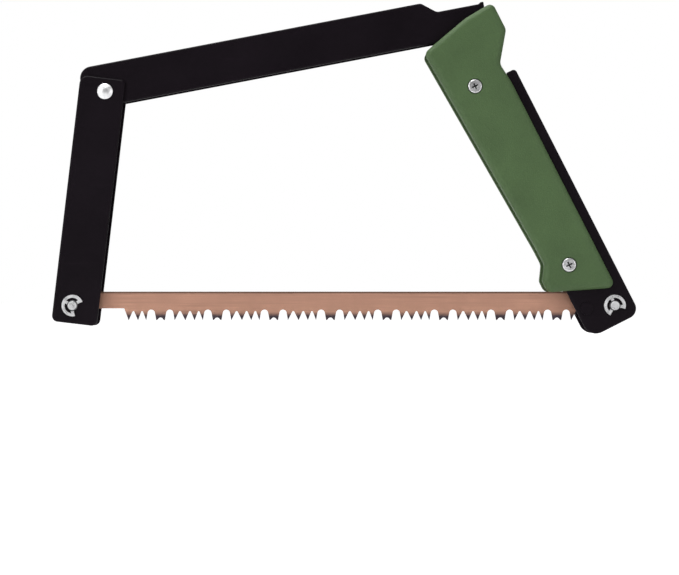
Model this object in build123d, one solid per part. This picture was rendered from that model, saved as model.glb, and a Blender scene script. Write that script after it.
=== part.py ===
from build123d import *
import math
import os

# A folding bow saw. The blade runs along X, the frame stands up along Z and the
# thickness is along Y. While it is modelled, the front blade pin is at the origin.
# All sizes are in millimetres.

# Blade
BLADE_HOLE_SPACING = 361.5
BLADE_END_MARGIN = 9.7
BLADE_BACK, BLADE_TIPS = 9.25, -10.05
BLADE_THICKNESS = 0.9
BLADE_PLAIN_EDGE = -2.0
RAKER_FIRST = 57.9
RAKER_PITCH = 38.05
RAKER_COUNT = 8
RAKER_WIDTH = 5.7
TOOTH_OFFSETS = (9.5, 16.65, 22.9, 28.4)
# Each gap between two tips: how wide its root is, as a share of the gap, and how deep it is
RAKER_GAP = (0.6, 1.9)
TOOTH_GAP = (0.22, 6.2)
CLEARING_GAP = (0.7, 7.2)
# The pads at the blade's ends, measured from the pins
END_PAD = 8.5
PAD_SLOPE = 4.0
PAD_CORNER = 1.5
TOOTH_SLOPE = 3.0
END_ROUND_FROM = 1.0
END_BULGE = 0.74
# How much larger than the pins the blade's two holes are, in radius
FRONT_HOLE_SLACK, REAR_HOLE_SLACK = 0.08, 0.6

# Frame angles, in degrees above the blade's line
SPAR_ANGLE = 10.8
ARM_ANGLE = 83.26
HANDLE_ANGLE = -63.0

# Layers through the thickness, each measured out from the middle plane
SHEET = 1.5
SPAR_INNER, SPAR_OUTER = 3.9, 5.4
ARM_INNER, ARM_OUTER = 5.75, 7.25
FRAME_INNER, FRAME_OUTER = 5.75, 7.25
LEVER_INNER, LEVER_OUTER = 7.6, 9.1
GRIP_INNER, GRIP_SEAT, GRIP_POCKET, GRIP_OUTER = 5.9, 7.3, 9.4, 13.2
BLADE_GAP = 0.8

# Arm, seen along its own length from the front blade pin up to the spar
ARM_BOTTOM, ARM_TOP = -12.0, 153.5
ARM_BACK, ARM_FRONT = 13.0, -17.5
ARM_PIVOT = (144.45, -4.7)
ARM_WEB_END = ARM_PIVOT[0] - 22.0

# Spar, seen along its own length from the arm's pivot
SPAR_LEFT, SPAR_STEP, SPAR_RIGHT = -15.2, 218.2, 259.6
SPAR_TOP, SPAR_NECK, SPAR_BOTTOM = 18.7, 11.0, -9.3
SPAR_PIVOT = (243.8, -3.1)

# Handle and lever, seen along the handle from the spar's pivot
LEVER_TIP, LEVER_END, LEVER_WEB_END = 39.7, 222.7, 174.0
LEVER_BACK, LEVER_FRONT, LEVER_BAR = 17.4, -19.8, 8.0
LEVER_PLATE = 183.0
LEVER_PIVOT = (203.9, -12.9)
FRAME_WEB_START, FRAME_WEB_END = 24.0, 172.0
FRAME_WEB_LOW, FRAME_WEB_HIGH = 7.0, 8.5
GRIP_ROUND = 4.0
GRIP_SCREWS = ((38.5, -12.4), (172.5, -10.6))

# Fasteners
PIN_RADIUS = 3.4
RIVET_RADIUS = 2.5
HEAD_RADIUS, HEAD_HEIGHT = 5.2, 2.1
FRAME_HEAD_RADIUS, FRAME_HEAD_HEIGHT = 4.4, 1.6
LEVER_HEAD_RADIUS, LEVER_HEAD_HEIGHT = 4.2, 0.7
ARM_WASHER, FRAME_WASHER, LEVER_WASHER = 7.5, 4.4, 5.5
FRONT_SPACER, REAR_SPACER = 5.0, 4.8
RUNNING = 0.05
CLIP_RADIUS, CLIP_RING, CLIP_GROOVE, CLIP_THICKNESS = 7.2, 5.2, 2.75, 0.7
CLIP_PRONG = 2.0
PIN_END_RADIUS, PIN_PROUD = 3.05, 1.7
CLIP_OPENING = 48.0
FRONT_CLIP_TURN, REAR_CLIP_TURN = -28.0, -67.0
SCREW_HEAD, SCREW_SHANK = 4.6, 1.9
SCREW_SUNK, SCREW_PROUD = 1.75, 0.25
SCREW_SLOT = (4.6, 1.1)
# Larger than the saw in every direction, for cuts that go right through
THROUGH = 20.0


def turned(x, z, angle):
    """A place in the frame for a piece drawn along its own X, turned up by angle."""
    return Pos(x, 0, z) * Rot(0, -angle, 0)


def along(place, point):
    """The frame position of a point given in a placed piece's own X and Z."""
    spot = (place * Pos(point[0], 0, point[1])).position
    return (spot.X, spot.Z)


ARM_PLACE = turned(0, 0, ARM_ANGLE)
ARM_RIVET_AT = along(ARM_PLACE, ARM_PIVOT)
SPAR_PLACE = turned(*ARM_RIVET_AT, SPAR_ANGLE)
HANDLE_AT = along(SPAR_PLACE, SPAR_PIVOT)
HANDLE_PLACE = turned(*HANDLE_AT, HANDLE_ANGLE)
LEVER_RIVET_AT = along(HANDLE_PLACE, LEVER_PIVOT)
FRONT_PIN_AT = (0.0, 0.0)
REAR_PIN_AT = (BLADE_HOLE_SPACING, 0.0)


def slab(face, low, high):
    """A face drawn in X and Z, made solid from y = low to y = high."""
    return Pos(0, high, 0) * Rot(90, 0, 0) * extrude(face, amount=high - low)


def outline(points, radii=None):
    """A closed face through the points, with rounded corners where radii names one."""
    face = make_face(Polyline(*points, close=True))
    for index, radius in sorted((radii or {}).items()):
        x, y = points[index]
        near = face.vertices().sort_by_distance((x, y, 0))[0]
        face = fillet(near, radius)
        face = face.face() if hasattr(face, "face") else face
    return face


def disc(point, radius):
    return Pos(point[0], point[1]) * Circle(radius)


def block(x_low, x_high, z_low, z_high):
    width, height = x_high - x_low, z_high - z_low
    return Pos(x_low + width / 2, z_low + height / 2) * Rectangle(width, height)


def both_sides(solid):
    return Compound(children=[solid, mirror(solid, about=Plane.XZ)])


def rounded_back(solid, height, half_width):
    """Rounds the two long bends where a channel's sides meet its web."""
    bends = solid.edges().filter_by(Axis.X).filter_by_position(Axis.Z, height - 0.05, height + 0.05)
    outer = [e for e in bends if abs(abs(e.center().Y) - half_width) < 0.01]
    return fillet(outer, SHEET * 0.8)


def spar():
    face = outline(
        [
            (SPAR_LEFT, SPAR_BOTTOM),
            (SPAR_RIGHT, SPAR_BOTTOM),
            (SPAR_RIGHT, SPAR_NECK + 0.8),
            (SPAR_RIGHT - 2.2, SPAR_NECK + 0.8),
            (SPAR_RIGHT - 3.4, SPAR_NECK),
            (SPAR_STEP + 9.5, SPAR_NECK),
            (SPAR_STEP, SPAR_TOP),
            (SPAR_LEFT, SPAR_TOP),
        ],
        {0: 6.0, 1: 3.0, 5: 5.0, 6: 4.0, 7: 8.0},
    )
    body = slab(face, -SPAR_OUTER, SPAR_OUTER)
    body -= slab(block(-40, 300, -40, SPAR_TOP - SHEET), -SPAR_INNER, SPAR_INNER)
    body -= slab(block(SPAR_STEP - 1.5, 300, 0, 60), -SPAR_INNER, SPAR_INNER)
    body = rounded_back(body, SPAR_TOP, SPAR_OUTER)
    holes = Sketch() + [disc((0, 0), RIVET_RADIUS + RUNNING), disc(SPAR_PIVOT, RIVET_RADIUS + RUNNING)]
    body -= slab(holes, -THROUGH, THROUGH)
    return SPAR_PLACE * body


def arm():
    face = outline(
        [
            (ARM_BOTTOM, ARM_FRONT),
            (ARM_TOP, ARM_FRONT),
            (ARM_TOP, ARM_BACK),
            (ARM_BOTTOM, ARM_BACK),
        ],
        {0: 4.0, 1: 3.0, 2: 5.5, 3: 4.0},
    )
    body = slab(face, -ARM_OUTER, ARM_OUTER)
    body -= slab(block(-40, 300, -40, ARM_BACK - SHEET), -ARM_INNER, ARM_INNER)
    body -= slab(block(ARM_WEB_END, 300, 0, 60), -ARM_INNER, ARM_INNER)
    body = rounded_back(body, ARM_BACK, ARM_OUTER)
    holes = Sketch() + [disc((0, 0), PIN_RADIUS + RUNNING), disc(ARM_PIVOT, RIVET_RADIUS + RUNNING)]
    body -= slab(holes, -THROUGH, THROUGH)
    return ARM_PLACE * body


def gullet(start, end, gap, tip):
    """The edges between two tooth tips: up one side, round the root, down the other."""
    share, depth = gap
    middle = (start + end) / 2
    half = (end - start) / 2 * share
    root = tip + depth
    low = root - half * 0.7
    return [
        Line((start, tip), (middle - half, low)),
        ThreePointArc((middle - half, low), (middle, root), (middle + half, low)),
        Line((middle + half, low), (end, tip)),
    ]


def tooth_tips():
    """Every tooth tip along the blade with the kind of gullet that follows it."""
    tips = [(RAKER_FIRST + offset - RAKER_PITCH, "tooth") for offset in TOOTH_OFFSETS[1:]]
    for number in range(RAKER_COUNT):
        centre = RAKER_FIRST + number * RAKER_PITCH
        tips.append((centre - RAKER_WIDTH / 2, "raker"))
        tips.append((centre + RAKER_WIDTH / 2, "raker"))
        spacing = TOOTH_OFFSETS if number < RAKER_COUNT - 1 else TOOTH_OFFSETS[:2]
        tips += [(centre + offset, "tooth") for offset in spacing]
    return tips


def end_points(tooth, tip):
    """The blade's front end, from its first tooth round the pad to where the end turns round."""
    left = -BLADE_END_MARGIN
    return [
        (tooth, tip),
        (tooth - TOOTH_SLOPE, BLADE_PLAIN_EDGE),
        (END_PAD + PAD_SLOPE, BLADE_PLAIN_EDGE),
        (END_PAD, tip),
        (left + PAD_CORNER, tip),
        (left, tip + PAD_CORNER),
        (left, END_ROUND_FROM),
    ]


def blade():
    tip, back = BLADE_TIPS, BLADE_BACK
    tips = tooth_tips()
    edges = []
    for (x1, kind1), (x2, kind2) in zip(tips, tips[1:]):
        if kind1 == kind2 == "raker":
            edges += gullet(x1, x2, RAKER_GAP, tip)
        elif kind1 == kind2:
            edges += gullet(x1, x2, TOOTH_GAP, tip)
        else:
            edges += gullet(x1, x2, CLEARING_GAP, tip)
    front = end_points(tips[0][0], tip)
    rear = [(BLADE_HOLE_SPACING - x, z) for x, z in end_points(BLADE_HOLE_SPACING - tips[-1][0], tip)]
    edges += [Line(a, b) for a, b in zip(front, front[1:])]
    edges += [Line(a, b) for a, b in zip(rear, rear[1:])]
    bulge = BLADE_END_MARGIN * END_BULGE
    turn = (-BLADE_END_MARGIN + back, back)
    far_turn = (BLADE_HOLE_SPACING - turn[0], back)
    edges.append(ThreePointArc(front[-1], (-bulge, bulge), turn))
    edges.append(Line(turn, far_turn))
    edges.append(ThreePointArc(far_turn, (BLADE_HOLE_SPACING + bulge, bulge), rear[-1]))
    face = make_face(edges)
    face -= disc(FRONT_PIN_AT, PIN_RADIUS + FRONT_HOLE_SLACK)
    face -= disc(REAR_PIN_AT, PIN_RADIUS + REAR_HOLE_SLACK)
    return slab(face, -BLADE_THICKNESS / 2, BLADE_THICKNESS / 2)


def frame_outline(grow=0.0):
    """The handle frame's side: a long plate with a round end at each pivot."""
    plate = outline(
        [
            (3.0, -22.0),
            (-2.6, -2.0),
            (-3.2, 13.0),
            (12.0, 15.0),
            (26.0, FRAME_WEB_HIGH),
            (FRAME_WEB_END, FRAME_WEB_HIGH),
            (198.0, -6.8),
            (201.0, -19.4),
            (184.0, -19.4),
            (170.0, -22.0),
            (154.0, -21.8),
            (8.0, -28.5),
        ],
        {3: 4.0, 5: 6.0, 8: 4.0},
    )
    plate += disc((0, 0), 4.6)
    plate += disc(LEVER_PIVOT, 6.5)
    return offset(plate, amount=grow) if grow else plate


def handle_frame():
    body = slab(frame_outline(), -FRAME_OUTER, FRAME_OUTER)
    body -= slab(block(-40, 300, -60, FRAME_WEB_LOW), -FRAME_INNER, FRAME_INNER)
    body -= slab(block(-40, FRAME_WEB_START, -60, 60), -FRAME_INNER, FRAME_INNER)
    body -= slab(block(FRAME_WEB_END, 300, -60, 60), -FRAME_INNER, FRAME_INNER)
    body = rounded_back(body, FRAME_WEB_HIGH, FRAME_OUTER)
    holes = Sketch() + [disc((0, 0), RIVET_RADIUS + RUNNING), disc(LEVER_PIVOT, RIVET_RADIUS + RUNNING)]
    holes += [disc(spot, SCREW_SHANK + 0.02) for spot in GRIP_SCREWS]
    body -= slab(holes, -THROUGH, THROUGH)
    return HANDLE_PLACE * body


def lever_outline(grow=0.0):
    """The lever's side: a slim bar along the back with a wide plate at the blade end."""
    bar = LEVER_BACK - LEVER_BAR
    plate = outline(
        [
            (LEVER_TIP, bar + 1.5),
            (LEVER_TIP + 6.0, bar),
            (LEVER_PLATE - 6.0, bar),
            (LEVER_PLATE + 2.0, LEVER_FRONT),
            (LEVER_END, LEVER_FRONT),
            (LEVER_END, LEVER_BACK),
            (LEVER_TIP, LEVER_BACK),
        ],
        {2: 5.0, 4: 9.0, 5: 7.0, 6: 2.5},
    )
    return offset(plate, amount=grow) if grow else plate


def tension_lever():
    body = slab(lever_outline(), -LEVER_OUTER, LEVER_OUTER)
    body -= slab(block(-40, 300, -60, LEVER_BACK - SHEET), -LEVER_INNER, LEVER_INNER)
    body -= slab(block(LEVER_WEB_END, 300, -60, 60), -LEVER_INNER, LEVER_INNER)
    body = rounded_back(body, LEVER_BACK, LEVER_OUTER)
    pin = (HANDLE_PLACE.inverse() * Pos(REAR_PIN_AT[0], 0, REAR_PIN_AT[1])).position
    holes = Sketch() + [disc((pin.X, pin.Z), PIN_RADIUS + RUNNING), disc(LEVER_PIVOT, RIVET_RADIUS + RUNNING)]
    body -= slab(holes, -THROUGH, THROUGH)
    return HANDLE_PLACE * body


def grip_outline():
    """One moulded half: straight front, pinched above its flared foot, horned back."""
    return outline(
        [
            (3.4, -32.1),
            (1.2, -24.0),
            (-5.0, 2.9),
            (-6.4, 23.6),
            (14.0, 23.6),
            (32.5, 9.6),
            (46.6, 10.9),
            (200.5, 11.0),
            (182.6, -31.1),
            (174.5, -31.0),
            (165.0, -24.8),
            (153.8, -24.9),
        ],
        {0: 4.0, 2: 8.0, 3: 4.0, 4: 6.0, 5: 6.0, 7: 4.0, 8: 5.0, 9: 4.0, 10: 7.0, 11: 12.0},
    )


def grip_shell():
    """The far half of the grip, hollowed for the frame, the lever and the rivet heads."""
    shell = slab(grip_outline(), GRIP_INNER, GRIP_OUTER)
    rim = shell.faces().sort_by(Axis.Y)[-1].edges()
    shell = fillet(rim, GRIP_ROUND)
    shell -= slab(frame_outline(0.25), 0, GRIP_SEAT)
    shell -= slab(lever_outline(0.4), 0, GRIP_POCKET)
    shell -= slab(disc(LEVER_PIVOT, 21.0), 0, GRIP_POCKET)
    shell -= slab(block(LEVER_TIP - 20.0, 240, LEVER_BACK - LEVER_BAR - 0.4, 60), 0, GRIP_POCKET)
    shell -= slab(disc((0, 0), HEAD_RADIUS + 0.3), 0, GRIP_POCKET + 0.3)
    for spot in GRIP_SCREWS:
        shell -= slab(disc(spot, SCREW_SHANK + 0.1), 0, THROUGH)
        shell -= slab(disc(spot, SCREW_HEAD + 0.1), GRIP_OUTER - SCREW_SUNK - RUNNING, THROUGH)
    return HANDLE_PLACE * shell


def stub_rivet(spot, sheet_in, sheet_out, head, height):
    """One side's rivet: a thin head inside, a shank and a domed head outside."""
    inner = slab(disc(spot, head * 0.8), sheet_in - 1.2, sheet_in)
    shank = slab(disc(spot, RIVET_RADIUS), sheet_in - 0.5, sheet_out + 0.5)
    dome = slab(disc(spot, head), sheet_out, sheet_out + height)
    dome = fillet(dome.edges().sort_by(Axis.Y)[-1], height * 0.85)
    return inner + shank + dome


def flush_rivet(spot):
    """The lever's rivet: flush inside the frame plate, with a low flat head outside."""
    shank = slab(disc(spot, RIVET_RADIUS), FRAME_INNER + 0.05, LEVER_OUTER)
    head = slab(disc(spot, LEVER_HEAD_RADIUS), LEVER_OUTER, LEVER_OUTER + LEVER_HEAD_HEIGHT)
    return shank + fillet(head.edges().sort_by(Axis.Y)[-1], 0.5)


def washer(spot, bore, radius, low, high):
    return slab(disc(spot, radius) - disc(spot, bore), low + 0.03, high - 0.03)


def e_clip(spot, opening, low):
    """A spring E-clip: an open ring with three prongs that reach into the pin's groove."""
    ring = Circle(CLIP_RADIUS) - Circle(CLIP_RING)
    reach = 20.0
    wedge = [(0, 0)]
    wedge += [(reach * math.cos(math.radians(a)), reach * math.sin(math.radians(a))) for a in (-CLIP_OPENING, 0, CLIP_OPENING)]
    ring -= make_face(Polyline(*wedge, close=True))
    middle = (CLIP_GROOVE + CLIP_RADIUS) / 2
    length = CLIP_RADIUS - CLIP_GROOVE - 0.5
    for angle in (60, 180, 300):
        ring += Rot(0, 0, angle) * Pos(middle - 0.15, 0) * Rectangle(length, CLIP_PRONG)
    ring -= Circle(CLIP_GROOVE)
    ring = Pos(*spot) * Rot(0, 0, opening) * ring
    return slab(ring, low, low + CLIP_THICKNESS)


def pin_half(spot, low, seat):
    """Half of a blade pin, from y = low out to its end, with a groove beyond the seat."""
    groove = seat + RUNNING
    lip = groove + CLIP_THICKNESS + 0.1
    body = slab(disc(spot, PIN_RADIUS), low, groove)
    body += slab(disc(spot, CLIP_GROOVE), groove, lip)
    body += slab(disc(spot, PIN_END_RADIUS), lip, seat + PIN_PROUD)
    return chamfer(body.edges().sort_by(Axis.Y)[-1], 0.35)


def grip_screw(spot):
    head_low = GRIP_OUTER - SCREW_SUNK
    length, width = SCREW_SLOT
    head = slab(disc(spot, SCREW_HEAD), head_low, GRIP_OUTER + SCREW_PROUD)
    head = fillet(head.edges().sort_by(Axis.Y)[-1], 0.9)
    slots = Pos(*spot) * (Rectangle(length, width) + Rectangle(width, length))
    head -= slab(slots, GRIP_OUTER - 1.0, GRIP_OUTER + 2)
    return head + slab(disc(spot, SCREW_SHANK), FRAME_INNER + 0.1, head_low)


def near_side(solid):
    return mirror(solid, about=Plane.XZ)


def add_pair(nodes, name, solid):
    nodes[name + "_far"] = solid
    nodes[name + "_near"] = near_side(solid)


def fasteners(nodes):
    add_pair(nodes, "arm_rivet", stub_rivet(ARM_RIVET_AT, SPAR_INNER, ARM_OUTER + RUNNING, HEAD_RADIUS, HEAD_HEIGHT))
    frame_head = (FRAME_HEAD_RADIUS, FRAME_HEAD_HEIGHT)
    add_pair(nodes, "frame_rivet", stub_rivet(HANDLE_AT, SPAR_INNER, FRAME_OUTER + RUNNING, *frame_head))
    add_pair(nodes, "lever_rivet", flush_rivet(LEVER_RIVET_AT))
    front_half = pin_half(FRONT_PIN_AT, 0, ARM_OUTER)
    nodes["front_blade_pin"] = front_half + near_side(front_half)
    nodes["rear_blade_pins"] = both_sides(pin_half(REAR_PIN_AT, BLADE_GAP, LEVER_OUTER))
    nodes["front_clip_near"] = near_side(e_clip(FRONT_PIN_AT, FRONT_CLIP_TURN, ARM_OUTER + 0.1))
    nodes["front_clip_far"] = e_clip(FRONT_PIN_AT, FRONT_CLIP_TURN + 180, ARM_OUTER + 0.1)
    nodes["rear_clip_near"] = near_side(e_clip(REAR_PIN_AT, REAR_CLIP_TURN, LEVER_OUTER + 0.1))
    nodes["rear_clip_far"] = e_clip(REAR_PIN_AT, REAR_CLIP_TURN + 180, LEVER_OUTER + 0.1)
    bore = PIN_RADIUS + RUNNING
    nodes["front_spacers"] = both_sides(washer(FRONT_PIN_AT, bore, FRONT_SPACER, BLADE_GAP, ARM_INNER))
    nodes["rear_spacers"] = both_sides(washer(REAR_PIN_AT, bore, REAR_SPACER, BLADE_GAP, LEVER_INNER))
    rivet_bore = RIVET_RADIUS + RUNNING
    nodes["arm_washers"] = both_sides(washer(ARM_RIVET_AT, rivet_bore, ARM_WASHER, SPAR_OUTER, ARM_INNER))
    nodes["frame_washers"] = both_sides(washer(HANDLE_AT, rivet_bore, FRAME_WASHER, SPAR_OUTER, FRAME_INNER))
    nodes["lever_washers"] = both_sides(washer(LEVER_RIVET_AT, rivet_bore, LEVER_WASHER, FRAME_OUTER, LEVER_INNER))


def grip_screws(nodes):
    for name, spot in zip(("upper", "lower"), GRIP_SCREWS):
        screw = HANDLE_PLACE * grip_screw(spot)
        add_pair(nodes, "grip_screw_" + name, screw)


def all_nodes():
    nodes = {
        "spar": spar(),
        "arm": arm(),
        "blade": blade(),
        "handle_frame": handle_frame(),
        "tension_lever": tension_lever(),
    }
    add_pair(nodes, "grip", grip_shell())
    fasteners(nodes)
    grip_screws(nodes)
    return nodes


def main():
    nodes = all_nodes()
    boxes = [shape.bounding_box() for shape in nodes.values()]
    x_low = min(b.min.X for b in boxes)
    x_high = max(b.max.X for b in boxes)
    z_low = min(b.min.Z for b in boxes)
    shift = Pos(-(x_low + x_high) / 2, 0, -z_low)
    os.makedirs("parts", exist_ok=True)
    for name, shape in nodes.items():
        export_step(shift * shape, "parts/" + name + ".step")
    spots = {
        "front pin": FRONT_PIN_AT,
        "rear pin": REAR_PIN_AT,
        "arm pivot": ARM_RIVET_AT,
        "frame pivot": HANDLE_AT,
        "lever pivot": LEVER_RIVET_AT,
    }
    for name, (x, z) in spots.items():
        print(name, round(x + shift.position.X, 3), round(z + shift.position.Z, 3))
    print("size", round(x_high - x_low, 2), round(2 * GRIP_OUTER, 2), len(nodes), "nodes")


if __name__ == "__main__":
    main()
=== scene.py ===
import math

import bmesh
import bpy
from bpy.props import FloatProperty, FloatVectorProperty, IntProperty, PointerProperty
from mathutils import Matrix, Vector


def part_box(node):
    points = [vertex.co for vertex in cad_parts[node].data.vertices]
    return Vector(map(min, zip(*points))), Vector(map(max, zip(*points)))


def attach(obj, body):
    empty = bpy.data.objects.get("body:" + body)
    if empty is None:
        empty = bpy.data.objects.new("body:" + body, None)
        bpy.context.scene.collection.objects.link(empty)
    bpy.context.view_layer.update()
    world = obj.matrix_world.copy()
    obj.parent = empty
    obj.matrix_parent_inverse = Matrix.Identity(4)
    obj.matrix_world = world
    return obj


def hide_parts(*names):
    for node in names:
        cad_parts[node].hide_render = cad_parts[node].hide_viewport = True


bl_info = {
    "name": "Folding bow saw",
    "version": (1, 0, 0),
    "blender": (4, 5, 0),
    "location": "View3D > Sidebar > Bow Saw",
    "description": "Builds the finished pieces and the stage of a folding bow saw around its frame",
    "category": "Object",
}

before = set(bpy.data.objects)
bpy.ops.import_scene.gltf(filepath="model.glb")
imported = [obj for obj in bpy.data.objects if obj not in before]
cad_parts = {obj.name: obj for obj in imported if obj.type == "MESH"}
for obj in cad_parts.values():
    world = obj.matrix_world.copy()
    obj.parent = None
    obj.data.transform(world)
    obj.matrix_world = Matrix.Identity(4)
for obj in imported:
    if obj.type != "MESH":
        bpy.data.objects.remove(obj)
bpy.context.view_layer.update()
MILLIMETRE = 0.001

# Cleaning a copied mesh: how close points are joined, and how flat faces are made one
MERGE_DISTANCE = 0.002 * MILLIMETRE
CLEAN_ANGLE = math.radians(0.4)
# Edges sharper than this are rounded
EDGE_ANGLE = math.radians(32)

# The attributes for a fastener's turn and a rounded edge's faces, and the placing tree
TURN = "turn"
EDGE = "edge"
FASTENER_TREE = "Place fasteners"

# Rivets: the shank, the head inside the channel and the domed head outside
RIVET_SHANK = 2.5 * MILLIMETRE
RIVET_INNER_HEAD = 1.2 * MILLIMETRE
RIVET_INNER_SHARE = 0.8
RIVET_RIM = 0.3 * MILLIMETRE
ARM_RIVET_HEAD = 2.1 * MILLIMETRE
FRAME_RIVET_HEAD = 1.6 * MILLIMETRE
DOME_STEPS = 10
DOME_SIDES = 48

# Small parts are rounded by a share of the steel edge
CLIP_EDGE_SHARE = 0.7
WASHER_EDGE_SHARE = 0.5

# Painted shade: in the screws' cross and in a ring round their heads, and round the pins' ends
SCREW_CROSS_DEPTH = 1.25 * MILLIMETRE
SCREW_RING_START, SCREW_RING_END = 0.25 * MILLIMETRE, 0.8 * MILLIMETRE
PIN_END_RADIUS = 3.05 * MILLIMETRE
PIN_RING_FADE = 0.3 * MILLIMETRE
PIN_RING_WIDTH = 0.5 * MILLIMETRE

# The blade's dark back, and its dark tips as shares of its height
BACK_START, BACK_FULL = 1.5 * MILLIMETRE, 0.9 * MILLIMETRE
TIP_FULL, TIP_END = 0.19, 0.35
TIP_RAGGED = 1.6 * MILLIMETRE

WHITE = (1.0, 1.0, 1.0, 1.0)
SENSOR_WIDTH = 36.0
FLOOR_GLOW = 0.72
# How bright the surround lights the saw from level and from steep directions
LEVEL_LIGHT, STEEP_LIGHT = 0.10, 0.42
LIGHT_TARGET = (0.0, 0.0, 0.12)
# name, place, size and power
SOFTBOXES = (
    ("top_softbox", (-0.35, -0.15, 1.35), (1.4, 0.8), 20),
    ("left_softbox", (-1.3, -0.9, 0.55), (0.7, 1.1), 11),
    ("right_softbox", (1.25, -1.1, 0.35), (0.5, 1.0), 6),
    ("back_softbox", (0.2, 1.4, 0.8), (1.2, 0.8), 12),
)


# ---------------------------------------------------------------- settings


class SawSizes(bpy.types.PropertyGroup):
    """Sizes of the finishing work on the saw's pieces."""

    sheet_edge: FloatProperty(
        name="Sheet edge", description="Rounding of the cut edges of the sheet metal",
        default=0.00055, min=0.00005, unit="LENGTH")
    steel_edge: FloatProperty(
        name="Steel edge", description="Rounding of the edges of rivets, pins and screws",
        default=0.00018, min=0.00002, unit="LENGTH")
    grip_edge: FloatProperty(
        name="Grip edge", description="Rounding of the moulded grip's parting edges",
        default=0.0005, min=0.0001, unit="LENGTH")
    tooth_grind: FloatProperty(
        name="Tooth grind", description="Width of the ground facet along the teeth",
        default=0.0002, min=0.00002, unit="LENGTH")
    edge_segments: IntProperty(
        name="Edge segments", description="Number of faces across each rounded edge",
        default=2, min=1, max=4, subtype="UNSIGNED")


class SawColours(bpy.types.PropertyGroup):
    """Colours of the saw's finishes."""

    frame_black: FloatVectorProperty(
        name="Frame black", description="Anodised sheet metal", subtype="COLOR",
        default=(0.0045, 0.0026, 0.0045), min=0, max=1)
    # The black frame's lighter edge colour: partly rubbed wear, partly painted highlight along the edges
    frame_edge_wear_and_highlight: FloatVectorProperty(
        name="Worn and highlit edge", description="Metal that shows through at rubbed edges", subtype="COLOR",
        default=(0.50, 0.48, 0.50), min=0, max=1)
    grip_green: FloatVectorProperty(
        name="Grip green", description="Moulded grip", subtype="COLOR",
        default=(0.057, 0.100, 0.038), min=0, max=1)
    blade_copper: FloatVectorProperty(
        name="Blade copper", description="Tempered coating on the blade", subtype="COLOR",
        default=(0.50, 0.27, 0.19), min=0, max=1)
    tooth_blue: FloatVectorProperty(
        name="Tooth blue", description="Hardened tooth tips", subtype="COLOR",
        default=(0.050, 0.036, 0.045), min=0, max=1)
    bright_steel: FloatVectorProperty(
        name="Bright steel", description="Plated rivets, clips and screws", subtype="COLOR",
        default=(0.82, 0.82, 0.83), min=0, max=1)


class SawStage(bpy.types.PropertyGroup):
    """Camera, floor and light."""

    camera_distance: FloatProperty(
        name="Camera distance", description="From the saw's middle plane to the camera",
        default=1.0, min=0.3, unit="LENGTH")
    view_width: FloatProperty(
        name="View width", description="Width of the picture, measured on the saw's near side",
        default=0.4522, min=0.1, unit="LENGTH")
    camera_x: FloatProperty(
        name="Camera X", description="Camera's place along the blade", default=-0.00285, unit="LENGTH")
    camera_z: FloatProperty(
        name="Camera height", description="Camera's height", default=0.0308, unit="LENGTH")
    floor_drop: FloatProperty(
        name="Floor drop", description="How far the floor lies below the saw, which hangs by its spar",
        default=0.05, min=0, unit="LENGTH")
    floor_size: FloatProperty(
        name="Floor size", description="Side of the square floor", default=12.0, min=1, unit="LENGTH")


# ------------------------------------------------------------ shader groups


def node(tree, kind, **values):
    """A new node with some of its settings."""
    made = tree.nodes.new(kind)
    for name, value in values.items():
        setattr(made, name, value)
    return made


def object_axis(tree, axis):
    """One of the piece's own coordinates, X, Y or Z."""
    coords = tree.nodes.new("ShaderNodeTexCoord")
    split = tree.nodes.new("ShaderNodeSeparateXYZ")
    tree.links.new(coords.outputs["Object"], split.inputs["Vector"])
    return split.outputs[axis]


def new_group(name, inputs, outputs):
    """A shader node group with named float inputs and named outputs."""
    tree = bpy.data.node_groups.new(name, "ShaderNodeTree")
    for socket, default in inputs:
        made = tree.interface.new_socket(socket, in_out="INPUT", socket_type="NodeSocketFloat")
        made.default_value = default
    for socket in outputs:
        tree.interface.new_socket(socket, in_out="OUTPUT", socket_type="NodeSocketFloat")
    return tree, tree.nodes.new("NodeGroupInput"), tree.nodes.new("NodeGroupOutput")


def noise(tree, scale, detail=3.0, stretch=None, rough=0.5):
    """Noise in the piece's own coordinates, with a scale that may be a socket."""
    coords = tree.nodes.new("ShaderNodeTexCoord")
    made = tree.nodes.new("ShaderNodeTexNoise")
    source = coords.outputs["Object"]
    if stretch:
        mapping = tree.nodes.new("ShaderNodeMapping")
        mapping.inputs["Scale"].default_value = stretch
        tree.links.new(source, mapping.inputs["Vector"])
        source = mapping.outputs["Vector"]
    tree.links.new(source, made.inputs["Vector"])
    if isinstance(scale, (int, float)):
        made.inputs["Scale"].default_value = scale
    else:
        tree.links.new(scale, made.inputs["Scale"])
    made.inputs["Detail"].default_value = detail
    made.inputs["Roughness"].default_value = rough
    return made.outputs["Fac"]


def maths(tree, operation, first, second=None, third=None):
    """A math node's result; each value may be a number or a socket."""
    made = node(tree, "ShaderNodeMath", operation=operation)
    for index, value in enumerate((first, second, third)):
        if value is None:
            continue
        if isinstance(value, (int, float)):
            made.inputs[index].default_value = value
        else:
            tree.links.new(value, made.inputs[index])
    return made.outputs[0]


def ranged(tree, value, low, high, to_low=0.0, to_high=1.0):
    """The value's range from low to high, spread over another range and held at its ends."""
    made = node(tree, "ShaderNodeMapRange", clamp=True)
    tree.links.new(value, made.inputs["Value"])
    made.inputs["From Min"].default_value = low
    made.inputs["From Max"].default_value = high
    made.inputs["To Min"].default_value = to_low
    made.inputs["To Max"].default_value = to_high
    return made.outputs["Result"]


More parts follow.
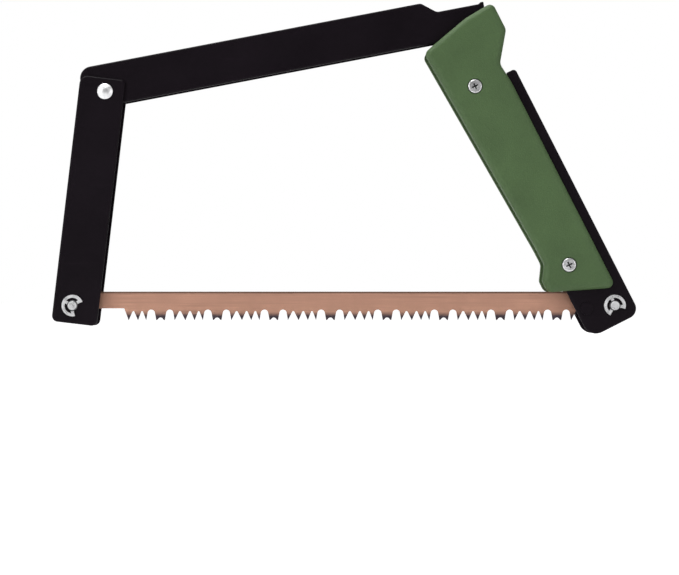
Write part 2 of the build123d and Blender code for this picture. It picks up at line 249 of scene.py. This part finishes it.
def edge_wear_and_highlight_group():
    """Where edges are lighter: the rounded ones, broken up by patches; rubbed wear, and on the black
    frame also painted highlight.
    """
    tree, given, out = new_group("Edge wear", [("Amount", 1.0), ("Patch scale", 120.0)], ["Mask"])
    edges = node(tree, "ShaderNodeAttribute", attribute_name=EDGE)
    patches = ranged(tree, noise(tree, given.outputs["Patch scale"], 5.0), 0.38, 0.62, 0.25, 1.0)
    mask = maths(tree, "MULTIPLY", edges.outputs["Fac"], patches)
    tree.links.new(maths(tree, "MULTIPLY", mask, given.outputs["Amount"]), out.inputs["Mask"])
    return tree


def surface_grain_group():
    """A fine height for bump and a broad, soft variation for colour and roughness."""
    inputs = [("Fine scale", 2500.0), ("Broad scale", 30.0), ("Mottle", 0.3)]
    tree, given, out = new_group("Surface grain", inputs, ["Height", "Variation"])
    fine = noise(tree, given.outputs["Fine scale"], 2.0)
    coarse = maths(tree, "MULTIPLY", given.outputs["Fine scale"], 0.35)
    lumps = noise(tree, coarse, 2.0)
    height = maths(tree, "MULTIPLY_ADD", lumps, 0.5, fine)
    broad = noise(tree, given.outputs["Broad scale"], 4.0)
    centred = maths(tree, "SUBTRACT", fine, 0.5)
    mixed = maths(tree, "MULTIPLY_ADD", centred, given.outputs["Mottle"], broad)
    tree.links.new(height, out.inputs["Height"])
    tree.links.new(mixed, out.inputs["Variation"])
    return tree


def brushed_group():
    """Fine lines along the piece's X, as rolling or grinding leaves them."""
    inputs = [("Line scale", 900.0), ("Scratch", 0.5)]
    tree, given, out = new_group("Brushed lines", inputs, ["Lines", "Scratches"])
    lines = noise(tree, given.outputs["Line scale"], 3.0, stretch=(0.02, 1.0, 1.0))
    long = noise(tree, 260.0, 6.0, stretch=(0.06, 1.0, 1.6), rough=0.75)
    scratches = ranged(tree, long, 0.60, 0.68)
    tree.links.new(lines, out.inputs["Lines"])
    tree.links.new(maths(tree, "MULTIPLY", scratches, given.outputs["Scratch"]), out.inputs["Scratches"])
    return tree


GROUP_MAKERS = {
    "Edge wear": edge_wear_and_highlight_group,
    "Surface grain": surface_grain_group,
    "Brushed lines": brushed_group,
}


# ---------------------------------------------------------------- materials


def new_material(name):
    """A material's node tree and its shader."""
    material = bpy.data.materials.new(name)
    material.use_nodes = True
    return material.node_tree, material.node_tree.nodes["Principled BSDF"]


def place_group(tree, name, **values):
    """One of the shared effects, with its inputs set; an underscore stands for a space."""
    made = tree.nodes.new("ShaderNodeGroup")
    made.node_tree = bpy.data.node_groups.get(name) or GROUP_MAKERS[name]()
    for socket, value in values.items():
        made.inputs[socket.replace("_", " ")].default_value = value
    return made


def mixed_colour(tree, factor, first, second):
    """From the first colour to the second, each a colour or a socket."""
    made = node(tree, "ShaderNodeMix", data_type="RGBA")
    tree.links.new(factor, made.inputs[0])
    for socket, value in ((made.inputs[6], first), (made.inputs[7], second)):
        if isinstance(value, (tuple, list)):
            socket.default_value = (*value, 1.0)
        else:
            tree.links.new(value, socket)
    return made.outputs[2]


def vary_roughness(tree, shader, value, low, high, smooth, rough):
    """Roughness that follows a pattern, from smooth at low to rough at high."""
    tree.links.new(ranged(tree, value, low, high, smooth, rough), shader.inputs["Roughness"])


def add_bump(tree, shader, height, distance, strength):
    """Fine relief on the shader, with its depth in metres."""
    made = tree.nodes.new("ShaderNodeBump")
    made.inputs["Strength"].default_value = strength
    made.inputs["Distance"].default_value = distance
    tree.links.new(height, made.inputs["Height"])
    tree.links.new(made.outputs["Normal"], shader.inputs["Normal"])


def tinted(colour, factor):
    """The colour made lighter or darker."""
    return tuple(min(1.0, channel * factor) for channel in colour)


def distance_from(tree, node_names):
    """How far a point is, seen from the side, from the nearest of the named nodes' middles."""
    coords = tree.nodes.new("ShaderNodeTexCoord")
    flat = node(tree, "ShaderNodeVectorMath", operation="MULTIPLY")
    flat.inputs[1].default_value = (1.0, 0.0, 1.0)
    tree.links.new(coords.outputs["Object"], flat.inputs[0])
    nearest = None
    for node_name in node_names:
        spot = middle_of(node_name)
        away = node(tree, "ShaderNodeVectorMath", operation="DISTANCE")
        tree.links.new(flat.outputs[0], away.inputs[0])
        away.inputs[1].default_value = (spot.x, 0.0, spot.z)
        gap = away.outputs["Value"]
        nearest = gap if nearest is None else maths(tree, "MINIMUM", nearest, gap)
    return nearest


def frame_black_material(colours):
    """Satin black anodised sheet: a fine tooth, faint rolling marks, and lighter edges that are partly
    rubbed wear and partly painted highlight.
    """
    tree, shader = new_material("frame_black")
    black = tuple(colours.frame_black)
    surface = place_group(tree, "Surface grain", Fine_scale=3200.0, Broad_scale=22.0, Mottle=0.5)
    lines = place_group(tree, "Brushed lines", Line_scale=1400.0, Scratch=0.5)
    edges = place_group(tree, "Edge wear", Amount=1.0, Patch_scale=150.0)
    shade = ranged(tree, surface.outputs["Variation"], 0.3, 0.7)
    base = mixed_colour(tree, shade, tinted(black, 0.85), tinted(black, 1.2))
    scuffed = mixed_colour(tree, lines.outputs["Scratches"], base, tinted(black, 2.0))
    # The rounded edges take the lighter edge colour: partly rubbed wear, partly painted highlight
    edge_lightened = mixed_colour(tree, edges.outputs["Mask"], scuffed, tuple(colours.frame_edge_wear_and_highlight))
    tree.links.new(edge_lightened, shader.inputs["Base Color"])
    shader.inputs["Specular IOR Level"].default_value = 0.085
    vary_roughness(tree, shader, surface.outputs["Variation"], 0.3, 0.75, 0.42, 0.5)
    tree.links.new(ranged(tree, edges.outputs["Mask"], 0.0, 1.0, 0.0, 0.8), shader.inputs["Metallic"])
    add_bump(tree, shader, surface.outputs["Height"], 0.00004, 0.5)


def grip_green_material(colours):
    """Olive moulded nylon: a close pebbled texture, slightly polished where it is held."""
    tree, shader = new_material("grip_green")
    green = tuple(colours.grip_green)
    surface = place_group(tree, "Surface grain", Fine_scale=1500.0, Broad_scale=26.0, Mottle=0.9)
    edges = place_group(tree, "Edge wear", Amount=0.6, Patch_scale=90.0)
    shade = ranged(tree, surface.outputs["Variation"], 0.2, 0.8)
    base = mixed_colour(tree, shade, tinted(green, 0.82), tinted(green, 1.2))
    edge_lightened = mixed_colour(tree, edges.outputs["Mask"], base, tinted(green, 1.9))
    low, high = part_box("grip_screw_upper_near")
    head = (high.x - low.x) / 2
    # A ring of painted shade round each screw head, in the gap of its counterbore
    nearest = distance_from(tree, ["grip_screw_upper_near", "grip_screw_lower_near"])
    counterbore_shade = ranged(tree, nearest, head + SCREW_RING_START, head + SCREW_RING_END, 0.85, 0.0)
    ringed = mixed_colour(tree, counterbore_shade, edge_lightened, tinted(green, 0.12))
    tree.links.new(ringed, shader.inputs["Base Color"])
    shader.inputs["Specular IOR Level"].default_value = 0.27
    vary_roughness(tree, shader, surface.outputs["Variation"], 0.25, 0.75, 0.52, 0.66)
    add_bump(tree, shader, surface.outputs["Height"], 0.00016, 0.8)


def blade_material(colours):
    """Copper-brown tempered steel with rolling lines, a dark back and blue-black tooth tips."""
    tree, shader = new_material("blade_copper")
    copper = tuple(colours.blade_copper)
    low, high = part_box("blade")
    height = high.z - low.z
    up = object_axis(tree, "Z")
    lines = place_group(tree, "Brushed lines", Line_scale=1100.0, Scratch=0.5)
    surface = place_group(tree, "Surface grain", Fine_scale=1800.0, Broad_scale=45.0, Mottle=0.4)
    shade = ranged(tree, lines.outputs["Lines"], 0.3, 0.7)
    base = mixed_colour(tree, shade, tinted(copper, 0.82), tinted(copper, 1.1))
    patchy = ranged(tree, surface.outputs["Variation"], 0.35, 0.7)
    toned = mixed_colour(tree, patchy, base, tinted(copper, 0.86))
    back = ranged(tree, up, high.z - BACK_START, high.z - BACK_FULL)
    backed = mixed_colour(tree, back, toned, tinted(copper, 0.28))
    ragged = maths(tree, "MULTIPLY_ADD", surface.outputs["Variation"], TIP_RAGGED, up)
    tips = ranged(tree, ragged, low.z + height * TIP_FULL, low.z + height * TIP_END, 1.0, 0.0)
    tipped = mixed_colour(tree, tips, backed, tuple(colours.tooth_blue))
    edges = place_group(tree, "Edge wear", Amount=0.5, Patch_scale=200.0)
    edge_lightened = mixed_colour(tree, edges.outputs["Mask"], tipped, (0.5, 0.46, 0.44))
    tree.links.new(edge_lightened, shader.inputs["Base Color"])
    shader.inputs["Metallic"].default_value = 0.55
    vary_roughness(tree, shader, lines.outputs["Lines"], 0.3, 0.7, 0.36, 0.52)
    add_bump(tree, shader, lines.outputs["Lines"], 0.00003, 0.5)


def steel_material(colours, name):
    """Plated steel with fine lines and small dull patches; gives back its colour, for painted shade to
    be mixed in.
    """
    tree, shader = new_material(name)
    steel = tuple(colours.bright_steel)
    surface = place_group(tree, "Surface grain", Fine_scale=2600.0, Broad_scale=220.0, Mottle=0.6)
    lines = place_group(tree, "Brushed lines", Line_scale=2200.0, Scratch=0.8)
    shade = ranged(tree, surface.outputs["Variation"], 0.3, 0.7)
    base = mixed_colour(tree, shade, tinted(steel, 0.82), steel)
    scratched = mixed_colour(tree, lines.outputs["Scratches"], base, tinted(steel, 0.6))
    tree.links.new(scratched, shader.inputs["Base Color"])
    shader.inputs["Metallic"].default_value = 0.9
    vary_roughness(tree, shader, surface.outputs["Variation"], 0.3, 0.7, 0.24, 0.40)
    add_bump(tree, shader, surface.outputs["Height"], 0.00003, 0.4)
    return tree, shader, scratched


def bright_steel_material(colours):
    """Plain plated steel."""
    steel_material(colours, "bright_steel")


def screw_steel_material(colours):
    """The grip screws' plated steel, with painted shade at the bottom of the cross."""
    tree, shader, steel = steel_material(colours, "screw_steel")
    outward = maths(tree, "ABSOLUTE", object_axis(tree, "Y"))
    floor = -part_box("grip_screw_upper_near")[0].y - SCREW_CROSS_DEPTH
    # Painted shade towards the bottom of the cross recess
    cross_recess_shade = ranged(tree, outward, floor + 0.1 * MILLIMETRE, floor + 0.4 * MILLIMETRE, 0.93, 0.0)
    tree.links.new(mixed_colour(tree, cross_recess_shade, steel, (0.02, 0.02, 0.02)), shader.inputs["Base Color"])


def pin_steel_material(colours):
    """The blade pins' and clips' plated steel, with a ring of painted shade round the groove where they
    meet.
    """
    tree, shader, steel = steel_material(colours, "pin_steel")
    # A ring of painted shade in the gap between the pin's end and its clip
    away = distance_from(tree, ["front_blade_pin", "rear_blade_pins"])
    inside = ranged(tree, away, PIN_END_RADIUS - PIN_RING_FADE, PIN_END_RADIUS, 0.0, 1.0)
    ring_end = PIN_END_RADIUS + PIN_RING_WIDTH
    outside = ranged(tree, away, ring_end, ring_end + PIN_RING_FADE, 1.0, 0.0)
    ring = maths(tree, "MULTIPLY", maths(tree, "MULTIPLY", inside, outside), 0.9)
    tree.links.new(mixed_colour(tree, ring, steel, (0.03, 0.03, 0.03)), shader.inputs["Base Color"])


def dark_nylon_material(colours):
    """Dark nylon washers and sleeves."""
    tree, shader = new_material("dark_nylon")
    surface = place_group(tree, "Surface grain", Fine_scale=2000.0, Broad_scale=150.0, Mottle=0.5)
    shade = ranged(tree, surface.outputs["Variation"], 0.3, 0.7)
    base = mixed_colour(tree, shade, (0.022, 0.022, 0.024), (0.04, 0.04, 0.042))
    tree.links.new(base, shader.inputs["Base Color"])
    vary_roughness(tree, shader, surface.outputs["Variation"], 0.3, 0.7, 0.45, 0.6)
    add_bump(tree, shader, surface.outputs["Height"], 0.00003, 0.4)


MATERIAL_MAKERS = {
    "frame_black": frame_black_material,
    "grip_green": grip_green_material,
    "blade_copper": blade_material,
    "bright_steel": bright_steel_material,
    "screw_steel": screw_steel_material,
    "pin_steel": pin_steel_material,
    "dark_nylon": dark_nylon_material,
}


def finish_of(name):
    """The named material, made the first time it is asked for."""
    if name not in bpy.data.materials:
        MATERIAL_MAKERS[name](bpy.context.scene.saw_colours)
    return bpy.data.materials[name]


# ------------------------------------------------------------------- pieces


def new_object(name, data):
    """An object in the scene, at the origin."""
    made = bpy.data.objects.new(name, data)
    bpy.context.scene.collection.objects.link(made)
    return made


def middle_of(node_name):
    """The middle of a CAD node's box."""
    low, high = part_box(node_name)
    return (Vector(low) + Vector(high)) / 2


def merged_copy(node_names, name):
    """A new piece from CAD nodes: loose triangles merged, flat areas made whole again."""
    shape = bmesh.new()
    for node_name in node_names:
        shape.from_mesh(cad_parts[node_name].data)
    bmesh.ops.remove_doubles(shape, verts=shape.verts, dist=MERGE_DISTANCE)
    bmesh.ops.dissolve_limit(
        shape, angle_limit=CLEAN_ANGLE, use_dissolve_boundaries=False,
        verts=shape.verts, edges=shape.edges)
    mesh = bpy.data.meshes.new(name)
    shape.to_mesh(mesh)
    shape.free()
    return new_object(name, mesh)


def baked(piece):
    """Applies the piece's modifiers, leaving a plain mesh."""
    bpy.context.view_layer.update()
    evaluated = piece.evaluated_get(bpy.context.evaluated_depsgraph_get())
    mesh = bpy.data.meshes.new_from_object(evaluated)
    mesh.name = piece.name
    piece.modifiers.clear()
    piece.data = mesh
    return piece


def round_edges(piece, width):
    """Rounds the sharp edges, keeps flat faces flat and marks the rounded faces as EDGE.

    The bevel gives its faces the second material, which is read back as the mark.
    """
    bevel = piece.modifiers.new("Rounded edges", "BEVEL")
    bevel.width = width
    bevel.segments = bpy.context.scene.saw_sizes.edge_segments
    bevel.material = 1
    bevel.limit_method = "ANGLE"
    bevel.angle_limit = EDGE_ANGLE
    bevel.use_clamp_overlap = True
    piece.data.materials.append(None)
    piece.data.materials.append(None)
    for face in piece.data.polygons:
        face.use_smooth = True
    weighted = piece.modifiers.new("Flat faces", "WEIGHTED_NORMAL")
    weighted.mode = "FACE_AREA"
    weighted.weight = 100
    baked(piece)
    # The mark of the rounded faces: it lays rubbed wear, and on the black frame also painted highlight
    rubbed = piece.data.attributes.new(EDGE, "FLOAT", "FACE")
    for face, value in zip(piece.data.polygons, rubbed.data):
        value.value = float(face.material_index)
        face.material_index = 0
    return piece


def dress(piece, material, body, node_names):
    """Gives a finished piece its material and its body, and hides the nodes it stands for."""
    piece.data.materials.clear()
    piece.data.materials.append(finish_of(material))
    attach(piece, body)
    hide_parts(*node_names)
    return piece


def finished(name, node_names, width, material, body):
    """A finished piece made from its CAD nodes."""
    piece = round_edges(merged_copy(node_names, name), width)
    return dress(piece, material, body, node_names)


def placing_tree():
    """Geometry nodes that set one part on every point, turned as the point says."""
    if FASTENER_TREE in bpy.data.node_groups:
        return bpy.data.node_groups[FASTENER_TREE]
    tree = bpy.data.node_groups.new(FASTENER_TREE, "GeometryNodeTree")
    sockets = tree.interface
    sockets.new_socket("Points", in_out="INPUT", socket_type="NodeSocketGeometry")
    sockets.new_socket("Part", in_out="INPUT", socket_type="NodeSocketObject")
    sockets.new_socket("Material", in_out="INPUT", socket_type="NodeSocketMaterial")
    sockets.new_socket("Fasteners", in_out="OUTPUT", socket_type="NodeSocketGeometry")
    given = tree.nodes.new("NodeGroupInput")
    out = tree.nodes.new("NodeGroupOutput")
    part = node(tree, "GeometryNodeObjectInfo", transform_space="ORIGINAL")
    turn = node(tree, "GeometryNodeInputNamedAttribute", data_type="FLOAT_VECTOR")
    turn.inputs["Name"].default_value = TURN
    rotation = tree.nodes.new("FunctionNodeEulerToRotation")
    placed = tree.nodes.new("GeometryNodeInstanceOnPoints")
    real = tree.nodes.new("GeometryNodeRealizeInstances")
    coated = tree.nodes.new("GeometryNodeSetMaterial")
    for first, second in (
        (given.outputs["Points"], placed.inputs["Points"]),
        (given.outputs["Part"], part.inputs["Object"]),
        (part.outputs["Geometry"], placed.inputs["Instance"]),
        (turn.outputs["Attribute"], rotation.inputs["Euler"]),
        (rotation.outputs["Rotation"], placed.inputs["Rotation"]),
        (placed.outputs["Instances"], real.inputs["Geometry"]),
        (real.outputs["Geometry"], coated.inputs["Geometry"]),
        (given.outputs["Material"], coated.inputs["Material"]),
        (coated.outputs["Geometry"], out.inputs["Fasteners"]),
    ):
        tree.links.new(first, second)
    return tree


def rivet_profile(low, high, head_height):
    """The rivet's outline as pairs of radius and Y, from its inner end out to its dome."""
    radius = (high.x - low.x) / 2
    under_head = low.y + head_height
    inner = high.y - RIVET_INNER_HEAD
    rise = head_height - RIVET_RIM
    sphere = (radius ** 2 + rise ** 2) / (2 * rise)
    profile = [(radius * RIVET_INNER_SHARE, high.y), (radius * RIVET_INNER_SHARE, inner)]
    profile += [(RIVET_SHANK, inner), (RIVET_SHANK, under_head), (radius, under_head)]
    for step in range(DOME_STEPS):
        out = radius * (1 - step / DOME_STEPS)
        drop = sphere - math.sqrt(sphere ** 2 - out ** 2)
        profile.append((out, low.y + drop))
    return profile


def turned_mesh(name, profile, first, last):
    """A closed mesh turned about Y, from the centre at first, along the profile, to last."""
    verts = [(0.0, first, 0.0)]
    for out, y in profile:
        for turn in range(DOME_SIDES):
            angle = math.tau * turn / DOME_SIDES
            verts.append((out * math.cos(angle), y, out * math.sin(angle)))
    verts.append((0.0, last, 0.0))
    faces = []
    last_ring = 1 + (len(profile) - 1) * DOME_SIDES
    for turn in range(DOME_SIDES):
        after = (turn + 1) % DOME_SIDES
        faces.append((0, 1 + turn, 1 + after))
        for start in range(1, last_ring, DOME_SIDES):
            beyond = start + DOME_SIDES
            faces.append((start + after, start + turn, beyond + turn, beyond + after))
        faces.append((len(verts) - 1, last_ring + after, last_ring + turn))
    mesh = bpy.data.meshes.new(name)
    mesh.from_pydata(verts, [], faces)
    shape = bmesh.new()
    shape.from_mesh(mesh)
    bmesh.ops.recalc_face_normals(shape, faces=shape.faces)
    shape.to_mesh(mesh)
    shape.free()
    for face in mesh.polygons:
        face.use_smooth = True
    mesh.set_sharp_from_angle(angle=EDGE_ANGLE)
    return mesh


def domed_rivet(node_name, name, head_height):
    """A turned rivet on the near side: an inner head, a shank and a low spherical cap outside."""
    low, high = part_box(node_name)
    mesh = turned_mesh(name, rivet_profile(low, high, head_height), high.y, low.y)
    middle = middle_of(node_name)
    mesh.transform(Matrix.Translation((middle.x, 0.0, middle.z)))
    return new_object(name, mesh)


def bevelled_part(node_name, name):
    """A part made from one CAD node, with rounded edges."""
    return round_edges(merged_copy([node_name], name), bpy.context.scene.saw_sizes.steel_edge)


def placed_fasteners(name, part, node_names, material, body):
    """The part, set at every node of its kind and baked into one piece."""
    part.data.transform(Matrix.Translation(-middle_of(node_names[0])))
    points = bpy.data.meshes.new(name)
    points.from_pydata([middle_of(node_name) for node_name in node_names], [], [])
    turns = points.attributes.new(TURN, "FLOAT_VECTOR", "POINT")
    for spot, node_name in zip(turns.data, node_names):
        spot.vector = (0.0, 0.0, math.pi if node_name.endswith("_far") else 0.0)
    piece = new_object(name, points)
    placing = piece.modifiers.new(FASTENER_TREE, "NODES")
    placing.node_group = placing_tree()
    inputs = {item.name: item.identifier for item in placing.node_group.interface.items_tree}
    placing[inputs["Part"]] = part
    placing[inputs["Material"]] = finish_of(material)
    baked(piece)
    bpy.data.objects.remove(part)
    return dress(piece, material, body, node_names)


class SAW_OT_frame_metal(bpy.types.Operator):
    """Make the black sheet metal channels: spar, arm, handle frame and tension lever"""

    bl_idname = "saw.frame_metal"
    bl_label = "Frame metal"

    def execute(self, context):
        width = context.scene.saw_sizes.sheet_edge
        for name, body in (
            ("spar", "spar"),
            ("arm", "arm"),
            ("handle_frame", "handle"),
            ("tension_lever", "lever"),
        ):
            finished(name + "_metal", [name], width, "frame_black", body)
        return {"FINISHED"}


class SAW_OT_blade(bpy.types.Operator):
    """Make the blade with its ground teeth"""

    bl_idname = "saw.blade"
    bl_label = "Blade"

    def execute(self, context):
        width = context.scene.saw_sizes.tooth_grind
        finished("toothed_blade", ["blade"], width, "blade_copper", "blade")
        return {"FINISHED"}


class SAW_OT_grip(bpy.types.Operator):
    """Make the two moulded halves of the grip"""

    bl_idname = "saw.grip"
    bl_label = "Grip"

    def execute(self, context):
        width = context.scene.saw_sizes.grip_edge
        for name in ("grip_near", "grip_far"):
            finished(name + "_shell", [name], width, "grip_green", "handle")
        return {"FINISHED"}


class SAW_OT_rivets(bpy.types.Operator):
    """Make the rivets at the three pivots"""

    bl_idname = "saw.rivets"
    bl_label = "Rivets"

    def execute(self, context):
        for kind, body, material, slot, head_height in (
            ("arm_rivet", "spar", "bright_steel", "bright_steel", ARM_RIVET_HEAD),
            ("frame_rivet", "spar", "frame_black", "black_rivet", FRAME_RIVET_HEAD),
        ):
            names = [kind + "_near", kind + "_far"]
            part = domed_rivet(names[0], kind + "_part", head_height)
            placed_fasteners(kind + "s", part, names, material, body)
        names = ["lever_rivet_near", "lever_rivet_far"]
        part = bevelled_part(names[0], "lever_rivets_part")
        placed_fasteners("lever_rivets", part, names, "frame_black", "handle")
        return {"FINISHED"}


class SAW_OT_pins_and_clips(bpy.types.Operator):
    """Make the blade pins with their spring clips"""

    bl_idname = "saw.pins_and_clips"
    bl_label = "Pins and clips"

    def execute(self, context):
        width = context.scene.saw_sizes.steel_edge
        finished("front_pin", ["front_blade_pin"], width, "pin_steel", "arm")
        finished("rear_pin", ["rear_blade_pins"], width, "pin_steel", "lever")
        for end, body in (("front", "arm"), ("rear", "lever")):
            names = [end + "_clip_near", end + "_clip_far"]
            finished(end + "_clips", names, width * CLIP_EDGE_SHARE, "pin_steel", body)
        return {"FINISHED"}


class SAW_OT_grip_screws(bpy.types.Operator):
    """Make the four cross-head grip screws"""

    bl_idname = "saw.grip_screws"
    bl_label = "Grip screws"

    def execute(self, context):
        names = [
            "grip_screw_upper_near",
            "grip_screw_upper_far",
            "grip_screw_lower_near",
            "grip_screw_lower_far",
        ]
        part = bevelled_part(names[0], "grip_screws_part")
        placed_fasteners("grip_screws", part, names, "screw_steel", "handle")
        return {"FINISHED"}


class SAW_OT_washers(bpy.types.Operator):
    """Make the washers and sleeves that space the sheets"""

    bl_idname = "saw.washers"
    bl_label = "Washers and sleeves"

    def execute(self, context):
        width = context.scene.saw_sizes.steel_edge * WASHER_EDGE_SHARE
        for name, body in (
            ("arm_washers", "arm"),
            ("front_spacers", "arm"),
            ("frame_washers", "handle"),
            ("lever_washers", "lever"),
            ("rear_spacers", "lever"),
        ):
            finished(name + "_nylon", [name], width, "dark_nylon", body)
        return {"FINISHED"}


# -------------------------------------------------------------------- stage


def make_floor(stage):
    """A pale floor that looks brighter in the picture than the light it throws back."""
    half = stage.floor_size / 2
    corners = [(-half, -half), (half, -half), (half, half), (-half, half)]
    mesh = bpy.data.meshes.new("floor")
    mesh.from_pydata([(x, y, -stage.floor_drop) for x, y in corners], [], [(0, 1, 2, 3)])
    floor = new_object("floor", mesh)
    tree, shader = new_material("pale_floor")
    shade = ranged(tree, noise(tree, 1.5, 3.0), 0.3, 0.7)
    pale = mixed_colour(tree, shade, (0.86, 0.86, 0.86), (0.9, 0.9, 0.9))
    tree.links.new(pale, shader.inputs["Base Color"])
    shader.inputs["Roughness"].default_value = 0.9
    shader.inputs["Specular IOR Level"].default_value = 0.1
    path = tree.nodes.new("ShaderNodeLightPath")
    glow = maths(tree, "MULTIPLY", path.outputs["Is Camera Ray"], FLOOR_GLOW)
    shader.inputs["Emission Color"].default_value = WHITE
    tree.links.new(glow, shader.inputs["Emission Strength"])
    mesh.materials.append(bpy.data.materials["pale_floor"])


def make_world():
    """A white surround for the picture that lights the saw more gently than it looks."""
    world = bpy.data.worlds.new("studio")
    bpy.context.scene.world = world
    world.use_nodes = True
    tree = world.node_tree
    shown = tree.nodes["Background"]
    shown.inputs["Color"].default_value = WHITE
    shown.inputs["Strength"].default_value = 1.0
    light = tree.nodes.new("ShaderNodeBackground")
    light.inputs["Color"].default_value = WHITE
    coords = tree.nodes.new("ShaderNodeTexCoord")
    split = tree.nodes.new("ShaderNodeSeparateXYZ")
    tree.links.new(coords.outputs["Generated"], split.inputs["Vector"])
    steep = maths(tree, "ABSOLUTE", split.outputs["Z"])
    strength = ranged(tree, steep, 0.12, 0.6, LEVEL_LIGHT, STEEP_LIGHT)
    tree.links.new(strength, light.inputs["Strength"])
    path = tree.nodes.new("ShaderNodeLightPath")
    mix = tree.nodes.new("ShaderNodeMixShader")
    tree.links.new(path.outputs["Is Camera Ray"], mix.inputs["Fac"])
    tree.links.new(light.outputs["Background"], mix.inputs[1])
    tree.links.new(shown.outputs["Background"], mix.inputs[2])
    tree.links.new(mix.outputs["Shader"], tree.nodes["World Output"].inputs["Surface"])


def area_light(name, place, size, power):
    """A rectangular lamp that faces the saw."""
    data = bpy.data.lights.new(name, "AREA")
    data.shape = "RECTANGLE"
    data.size, data.size_y = size
    data.energy = power
    light = new_object(name, data)
    light.location = place
    towards = Vector(LIGHT_TARGET) - Vector(place)
    light.rotation_euler = towards.to_track_quat("-Z", "Y").to_euler()


def make_camera(stage):
    """A level camera that looks along Y at the saw's near side."""
    near_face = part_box("tension_lever")[0].y
    data = bpy.data.cameras.new("camera")
    data.sensor_width = SENSOR_WIDTH
    data.lens = data.sensor_width * (stage.camera_distance + near_face) / stage.view_width
    data.clip_start = 0.01
    camera = new_object("camera", data)
    camera.location = (stage.camera_x, -stage.camera_distance, stage.camera_z)
    camera.rotation_euler = (math.radians(90), 0, 0)
    bpy.context.scene.camera = camera


class SAW_OT_stage(bpy.types.Operator):
    """Make the floor, the light and the camera"""

    bl_idname = "saw.stage"
    bl_label = "Stage"

    def execute(self, context):
        stage = context.scene.saw_stage
        context.scene.view_settings.view_transform = "Standard"
        make_floor(stage)
        make_world()
        for name, place, size, power in SOFTBOXES:
            area_light(name, place, size, power)
        context.view_layer.update()
        make_camera(stage)
        return {"FINISHED"}


class SAW_PT_panel(bpy.types.Panel):
    """The bow saw's settings and its pieces"""

    bl_idname = "SAW_PT_panel"
    bl_label = "Bow saw"
    bl_space_type = "VIEW_3D"
    bl_region_type = "UI"
    bl_category = "Bow Saw"

    def draw(self, context):
        layout = self.layout
        for holder in (context.scene.saw_sizes, context.scene.saw_colours, context.scene.saw_stage):
            box = layout.box()
            for name in holder.__annotations__:
                box.prop(holder, name)
        for operator in OPERATORS:
            layout.operator(operator.bl_idname)


OPERATORS = (
    SAW_OT_frame_metal,
    SAW_OT_blade,
    SAW_OT_grip,
    SAW_OT_rivets,
    SAW_OT_pins_and_clips,
    SAW_OT_grip_screws,
    SAW_OT_washers,
    SAW_OT_stage,
)
GROUPS = {"saw_sizes": SawSizes, "saw_colours": SawColours, "saw_stage": SawStage}


def register():
    for kind in (*GROUPS.values(), *OPERATORS, SAW_PT_panel):
        bpy.utils.register_class(kind)
    for name, kind in GROUPS.items():
        setattr(bpy.types.Scene, name, PointerProperty(type=kind))


def unregister():
    for name in GROUPS:
        delattr(bpy.types.Scene, name)
    for kind in (SAW_PT_panel, *reversed(OPERATORS), *GROUPS.values()):
        bpy.utils.unregister_class(kind)


def main():
    register()
    for operator in OPERATORS:
        family, name = operator.bl_idname.split(".")
        getattr(getattr(bpy.ops, family), name)()


if __name__ == "__main__":
    main()
